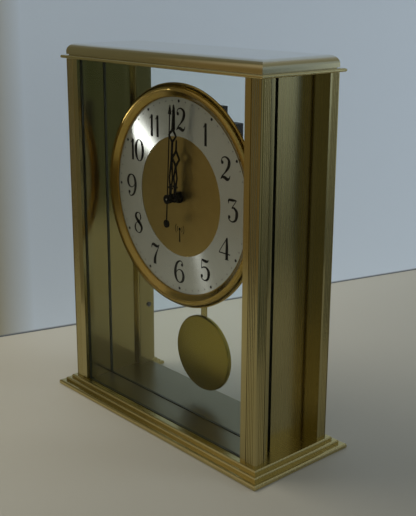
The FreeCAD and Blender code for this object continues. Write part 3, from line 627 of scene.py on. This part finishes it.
class Print:
    """Flat printing: faces in one plane just proud of the dial."""

    def __init__(self):
        self.points = []
        self.faces = []

    def vertex(self, x, z):
        """The number of a new point at x, z on the dial."""
        y = DIAL_FACE_Y - PRINT_PROUD * MM
        self.points.append((DIAL_CENTRE.x + x * MM, y, DIAL_CENTRE.z + z * MM))
        return len(self.points) - 1

    def ribbon(self, centre_line):
        """A band along a line of (x, z, width) points."""
        pairs = []
        last = len(centre_line) - 1
        for i, (x, z, width) in enumerate(centre_line):
            before, after = centre_line[max(i - 1, 0)], centre_line[min(i + 1, last)]
            along = Vector((after[0] - before[0], after[1] - before[1])).normalized()
            side = Vector((-along.y, along.x)) * width / 2
            pairs.append((self.vertex(x + side.x, z + side.y), self.vertex(x - side.x, z - side.y)))
        for (a, b), (c, d) in zip(pairs, pairs[1:]):
            self.faces.append((a, b, d, c))

    def disc(self, x, z, radius, sides=20):
        """A round dot."""
        turns = [2 * math.pi * i / sides for i in range(sides)]
        ring = [self.vertex(x + radius * math.cos(t), z + radius * math.sin(t)) for t in turns]
        self.faces.append(tuple(ring))

    def glyph(self, glyph, x, z):
        """A glyph with its middle at x, z."""
        strokes, balls = glyph
        for stroke in strokes:
            line = []
            for px, pz, width in stroke:
                line.append((x + px * NUMERAL_SIZE, z + pz * NUMERAL_SIZE, width * NUMERAL_BOLD))
            self.ribbon(smooth(line))
        for px, pz, radius in balls:
            self.disc(x + px * NUMERAL_SIZE, z + pz * NUMERAL_SIZE, radius * NUMERAL_SIZE)

    def finish(self, name, material):
        """Makes a piece of the faces, which rides on the case."""
        mesh = bpy.data.meshes.new(name)
        mesh.from_pydata(self.points, [], self.faces)
        mesh.materials.append(material)
        piece = bpy.data.objects.new(name, mesh)
        bpy.context.scene.collection.objects.link(piece)
        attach(piece, "case")
        return piece


def smooth(points, steps=8):
    """Catmull-Rom through the points, with the width as a third coordinate."""
    if len(points) < 3:
        return points
    ends = [Vector(p) for p in points]
    if points[0] == points[-1]:
        ends = [ends[-2]] + ends + [ends[1]]
    else:
        ends = [ends[0] * 2 - ends[1]] + ends + [ends[-1] * 2 - ends[-2]]
    line = []
    for p0, p1, p2, p3 in zip(ends, ends[1:], ends[2:], ends[3:]):
        for i in range(steps):
            t = i / steps
            line.append(0.5 * (2 * p1 + (p2 - p0) * t + (2 * p0 - 5 * p1 + 4 * p2 - p3) * t ** 2
                               + (3 * p1 - p0 - 3 * p2 + p3) * t ** 3))
    return [tuple(p) for p in line] + [tuple(points[-1])]


def around(radius, twelfths):
    """A point on the dial: twelfths is 12 at the top, and goes clockwise."""
    angle = math.radians(90 - 30 * twelfths)
    return radius * math.cos(angle), radius * math.sin(angle)


def mast_sign():
    """The sign for radio reception: a mast with two waves on each side."""
    mast = Print()
    under_ball = MAST_TOP - 0.4 * MAST_BALL
    top_width, foot_width = MAST_WIDTHS
    mast.ribbon([(0.0, under_ball, top_width), (0.0, MAST_FOOT, foot_width)])
    mast.disc(0.0, MAST_TOP, MAST_BALL)
    for radius in WAVE_RADII:
        for side in (-1, 1):
            wave = []
            for angle in WAVE_ANGLES:
                t = math.radians(angle)
                wave.append((side * radius * math.cos(t), MAST_TOP + radius * math.sin(t), WAVE_WIDTH))
            mast.ribbon(wave)
    return mast


def print_dial():
    """Numerals and dots on the ring, and the mast sign on the gilt disc a little behind it."""
    ink = painted("dial_ink", BLACK, 0.4, 0.55, 900.0, 2e-6, shine=0.15)
    grey_ink = painted("faint_ink", FADED_BLACK, 0.4, 0.55, 900.0, 2e-6, shine=0.15)
    numerals, dots = Print(), Print()
    for hour, glyph in NUMERALS.items():
        numerals.glyph(glyph, *around(NUMERAL_R, hour))
        numerals.disc(*around(DOT_R, hour), HOUR_DOT)
    for minute in range(60):
        if minute % 5:
            dots.disc(*around(DOT_R, minute / 5), MINUTE_DOT, 10)
    numerals.finish("dial_numerals", ink)
    dots.finish("minute_dots", grey_ink)
    sign = mast_sign().finish("mast_sign", ink)
    for vertex in sign.data.vertices:
        vertex.co.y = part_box("dial_plate")[0].y - PRINT_PROUD * MM


# ==== stage ===================================================================================
# Metres. reach is measured along the wall's foot from its first point, from_wall at right
# angles to it, towards the clock.
WALL_FOOT = (Vector((-0.209, -0.0268, 0.0)), Vector((-0.0992, 0.3827, 0.0)))
WALL_HEIGHT = 1.6
STAGE_SPREAD = 3.0          # of floor and wall, past each end of the wall's foot
FLOOR_SPREAD = 4.0          # of the floor in front of the wall
TABLE_DEPTH = 0.45          # from the wall to the table's front edge, in reflections
TABLE_END = (-0.32, -0.2)   # reach over which the table fades away, in reflections
FLOOR_COLOUR = (0.53, 0.505, 0.425, 1.0)
# The next three numbers paint shade on the floor, darker away from the wall.
FLOOR_SHADE_RANGE = (0.15, 0.42)   # from_wall plus the slant times reach, over which painted shade darkens the floor
FLOOR_SHADE_SLANT = 0.5
FLOOR_SHADE_DIM = 0.68
WALL_COLOUR = (0.79, 0.87, 0.97, 1.0)
# a painted shadow over the near end of the wall
WALL_PAINTED_SHADOW = (0.43, 0.39, 0.28, 1.0)
WALL_SHADOW_FADE = (0.0, 0.03)    # reach over which the painted shadow on the wall's near end fades out
WALL_FOOT_SHADE = (0.0007, 0.002)  # height over which the painted shade along the wall's foot fades out
# how dark the painted shade along the wall's foot is
FOOT_SHADE_DIM = 0.2


def plane_piece(name, corners, material):
    """A flat piece of the stage."""
    mesh = bpy.data.meshes.new(name)
    mesh.from_pydata([tuple(c) for c in corners], [], [tuple(range(len(corners)))])
    mesh.materials.append(material)
    piece = bpy.data.objects.new(name, mesh)
    bpy.context.scene.collection.objects.link(piece)
    return piece


def matt(name, colour, variation):
    """Matt paint whose tone varies a little."""
    made = Nodes(name)
    clouds = made.noise(made.place(), scale=3.0, detail=3.0)
    grain = made.noise(made.place(), scale=400.0, detail=2.0)
    darker, paler = scaled(colour, 1 - variation), scaled(colour, 1 + variation)
    made.set(
        base_color=made.blend(made.spread(clouds, 0.0, 1.0), darker, paler),
        roughness=0.6,
        normal=made.bump(grain, 5e-5),
    )
    return made


def see_through_where(made, condition):
    """Makes a stage piece vanish where the condition is 1."""
    mix = made.add("ShaderNodeMixShader")
    made.link(condition, mix.inputs[0])
    made.link(made.shader.outputs["BSDF"], mix.inputs[1])
    made.link(made.add("ShaderNodeBsdfTransparent").outputs["BSDF"], mix.inputs[2])
    made.link(mix.outputs["Shader"], made.output.inputs["Surface"])
    return made.material


def in_reflection(made):
    """1 for a ray that has been reflected, 0 for the eye."""
    depth = made.add("ShaderNodeLightPath").outputs["Glossy Depth"]
    return made.math("GREATER_THAN", depth, 0.5)


def along_stage(made, origin, direction):
    """How far a point is from the origin along a level direction, in metres."""
    away = made.vector_math("SUBTRACT", made.place(), tuple(origin))
    dot = made.add("ShaderNodeVectorMath", operation="DOT_PRODUCT")
    made.link(away, dot.inputs[0])
    made.link(tuple(direction), dot.inputs[1])
    return dot.outputs["Value"]


def floor_paint(out, along):
    """Pale, with painted shade that darkens it away from the wall; in reflections it ends at the
    table's edges.
    """
    made = matt("floor_paint", FLOOR_COLOUR, 0.02)
    from_wall = along_stage(made, WALL_FOOT[0], out)
    reach = along_stage(made, WALL_FOOT[0], along)
    away = made.math("ADD", from_wall, made.math("MULTIPLY", reach, FLOOR_SHADE_SLANT))
    # painted shade: the floor's colour darkens away from the wall
    dim = made.spread(away, 0.0, 1.0, *FLOOR_SHADE_RANGE)
    made.set(base_color=made.blend(dim, FLOOR_COLOUR, scaled(FLOOR_COLOUR, FLOOR_SHADE_DIM)))
    in_front = made.math("GREATER_THAN", from_wall, TABLE_DEPTH)
    behind = made.math("LESS_THAN", from_wall, 0.0)
    beyond = made.math("MAXIMUM", in_front, behind)
    past = made.math("MAXIMUM", beyond, made.spread(reach, 1.0, 0.0, *TABLE_END))
    return see_through_where(made, made.math("MULTIPLY", past, in_reflection(made)))


def wall_paint(along):
    """Pale, with a painted shadow over its near end and painted shade along its foot; it shows only
    from its front.
    """
    made = matt("wall_paint", WALL_COLOUR, 0.015)
    reach = along_stage(made, WALL_FOOT[0], along)
    # painted shadow over the wall's near end
    tone = made.blend(made.spread(reach, 0.0, 1.0, *WALL_SHADOW_FADE), WALL_PAINTED_SHADOW, WALL_COLOUR)
    hidden = made.spread(reach, 1.0, 0.0, *TABLE_END)
    split = made.add("ShaderNodeSeparateXYZ")
    made.link(made.place(), split.inputs["Vector"])
    # painted shade along the foot, where the wall meets the floor
    foot_shade = made.spread(split.outputs["Z"], 1.0, 0.0, *WALL_FOOT_SHADE)
    made.set(base_color=made.blend(foot_shade, tone, scaled(WALL_COLOUR, FOOT_SHADE_DIM)))
    backface = made.add("ShaderNodeNewGeometry").outputs["Backfacing"]
    unseen = made.math("MULTIPLY", hidden, in_reflection(made))
    return see_through_where(made, made.math("MAXIMUM", backface, unseen))


def build_stage():
    """A pale floor and a pale wall.

    Brass shows the room, so in reflections the floor ends like a table top does.
    """
    along = (WALL_FOOT[1] - WALL_FOOT[0]).normalized()
    out = Vector((along.y, -along.x, 0.0))
    near, far = WALL_FOOT[0] - along * STAGE_SPREAD, WALL_FOOT[1] + along * STAGE_SPREAD
    front, back = out * FLOOR_SPREAD, -out * STAGE_SPREAD
    plane_piece("floor", [near + back, near + front, far + front, far + back], floor_paint(out, along))
    up = Vector((0, 0, WALL_HEIGHT))
    wall = plane_piece("wall", [near, far, far + up, near + up], wall_paint(along))
    wall.visible_shadow = False


# ==== light and camera ========================================================================
def area_light(name, place, target, size, power, colour, reflected=False):
    """A square or oblong lamp that the camera doesn't see.

    Where reflected is true only reflections show it; else it lights matt surfaces only.
    """
    data = bpy.data.lights.new(name, "AREA")
    data.shape = "RECTANGLE"
    data.size, data.size_y = size
    data.energy = power
    data.color = colour
    lamp = bpy.data.objects.new(name, data)
    bpy.context.scene.collection.objects.link(lamp)
    aim = Vector(target) - Vector(place)
    lamp.matrix_world = Matrix.Translation(place) @ aim.to_track_quat("-Z", "Y").to_matrix().to_4x4()
    lamp.visible_camera = False
    lamp.visible_transmission = False
    lamp.visible_glossy = reflected
    lamp.visible_diffuse = not reflected
    return lamp


# Patches of light in the room that the brass reflects.
GLOWS = (
    # direction, half angle in degrees, softness, colour
    ((0.60, 0.80, 0.09), 13.5, 2.0, (0.15, 0.21, 0.36)),        # back right, above the horizon
    ((0.60, 0.80, -0.20), 16.0, 5.0, (0.05, 0.05, 0.06)),       # back right, low and dim
    ((0.41, 0.91, -0.035), 15.0, 3.0, (0.8, 0.9, 1.0)),         # behind, bright
    ((0.99, -0.14, 0.09), 22.0, 8.0, (0.22, 0.22, 0.19)),       # right
    ((0.75, -0.66, -0.17), 14.0, 6.0, (0.15, 0.16, 0.22)),      # front right, below the camera
    ((-0.7, -0.7, -0.05), 55.0, 20.0, (0.17, 0.11, 0.055)),     # front left, broad and warm
)
BACKDROP = (0.24, 0.26, 0.28, 1.0)
# Brightness of the rest of the room: 0 is straight down, 0.5 level and 1 straight up.
ROOM_TONES = (
    (0.0, (0.03, 0.03, 0.02)),
    (0.40, (0.02, 0.03, 0.014)),
    (0.475, (0.03, 0.042, 0.022)),
    (0.53, (0.07, 0.08, 0.07)),
    (0.65, (0.22, 0.24, 0.25)),
    (1.0, (0.36, 0.37, 0.36)),
)


class World(Nodes):
    """The room: what the brass and the glass reflect, beyond the floor and the wall."""

    def __init__(self, name):
        self.world = bpy.data.worlds.new(name)
        self.world.use_nodes = True
        self.tree = self.world.node_tree
        self.shader = self.tree.nodes["Background"]

    def direction(self):
        return self.add("ShaderNodeTexCoord").outputs["Generated"]

    def glow(self, towards, half_angle, softness, colour):
        """A patch of light of one colour round a direction, and black elsewhere."""
        dot = self.add("ShaderNodeVectorMath", operation="DOT_PRODUCT")
        self.link(self.direction(), dot.inputs[0])
        self.link(tuple(Vector(towards).normalized()), dot.inputs[1])
        inner = math.cos(math.radians(half_angle - softness))
        outer = math.cos(math.radians(half_angle + softness))
        inside = self.spread(dot.outputs["Value"], 0.0, 1.0, outer, inner)
        return self.blend(inside, (0, 0, 0, 1), (*colour, 1))


def build_world():
    """Dark green low down and pale above in reflections; a plain backdrop for the eye."""
    room = World("room")
    bpy.context.scene.world = room.world
    split = room.add("ShaderNodeSeparateXYZ")
    room.link(room.direction(), split.inputs["Vector"])
    ramp = room.add("ShaderNodeValToRGB")
    room.link(room.spread(split.outputs["Z"], 0.0, 1.0, -1.0, 1.0), ramp.inputs["Fac"])
    for position, _ in ROOM_TONES[1:-1]:
        ramp.color_ramp.elements.new(position)
    for element, (_, colour) in zip(ramp.color_ramp.elements, ROOM_TONES):
        element.color = (*colour, 1.0)
    seen = ramp.outputs["Color"]
    for glow in GLOWS:
        seen = room.vector_math("ADD", seen, room.glow(*glow))
    path = room.add("ShaderNodeLightPath")
    bounces = room.math("ADD", path.outputs["Glossy Depth"], path.outputs["Diffuse Depth"])
    shown = room.blend(room.math("GREATER_THAN", bounces, 0.5), BACKDROP, seen)
    room.link(shown, room.shader.inputs["Color"])


def build_lights():
    """A cool lamp at the back right, a warm one at the front left, a small one for the ring."""
    area_light("window", place=(1.5, 1.3, 0.52), target=(0.0, 0.1, 0.13), size=(0.9, 0.7),
               power=11.5, colour=(0.80, 0.90, 1.0))
    area_light("ceiling", place=(-0.62, -0.35, 1.0), target=(-0.1, 0.0, 0.0), size=(0.8, 0.8),
               power=6.5, colour=(1.0, 0.95, 0.86))
    glint = area_light("dial_glint", place=(-0.521, -0.307, 0.131), target=(0.0, -0.01, 0.15),
                       size=(0.035, 0.035), power=0.3, colour=(1, 1, 1), reflected=True)
    shown_on = bpy.data.collections.new("glint_receivers")
    for name in ("chapter_ring", "bezel"):
        shown_on.objects.link(NODES[name])
    glint.light_linking.receiver_collection = shown_on


def build_camera():
    """To the clock's right and in front of it, a little above its top."""
    data = bpy.data.cameras.new("camera")
    data.lens = 65.68
    data.sensor_width = 36.0
    data.shift_x = 0.01246
    data.shift_y = -0.025
    data.clip_start = 0.01
    camera = bpy.data.objects.new("camera", data)
    bpy.context.scene.collection.objects.link(camera)
    down, roll, round_z = 15.62, -0.10, 48.57
    camera.location = (0.4371, -0.3783, 0.2786)
    camera.rotation_euler = (math.radians(90 - down), math.radians(roll), math.radians(round_z))
    bpy.context.scene.camera = camera


def set_tones():
    """No film look: colours come out as the lights make them."""
    settings = bpy.context.scene.view_settings
    settings.view_transform = "Standard"
    settings.look = "None"


dress_nodes()
soften_edges()
ground_edges()
print_dial()
build_stage()
build_world()
build_lights()
build_camera()
set_tones()
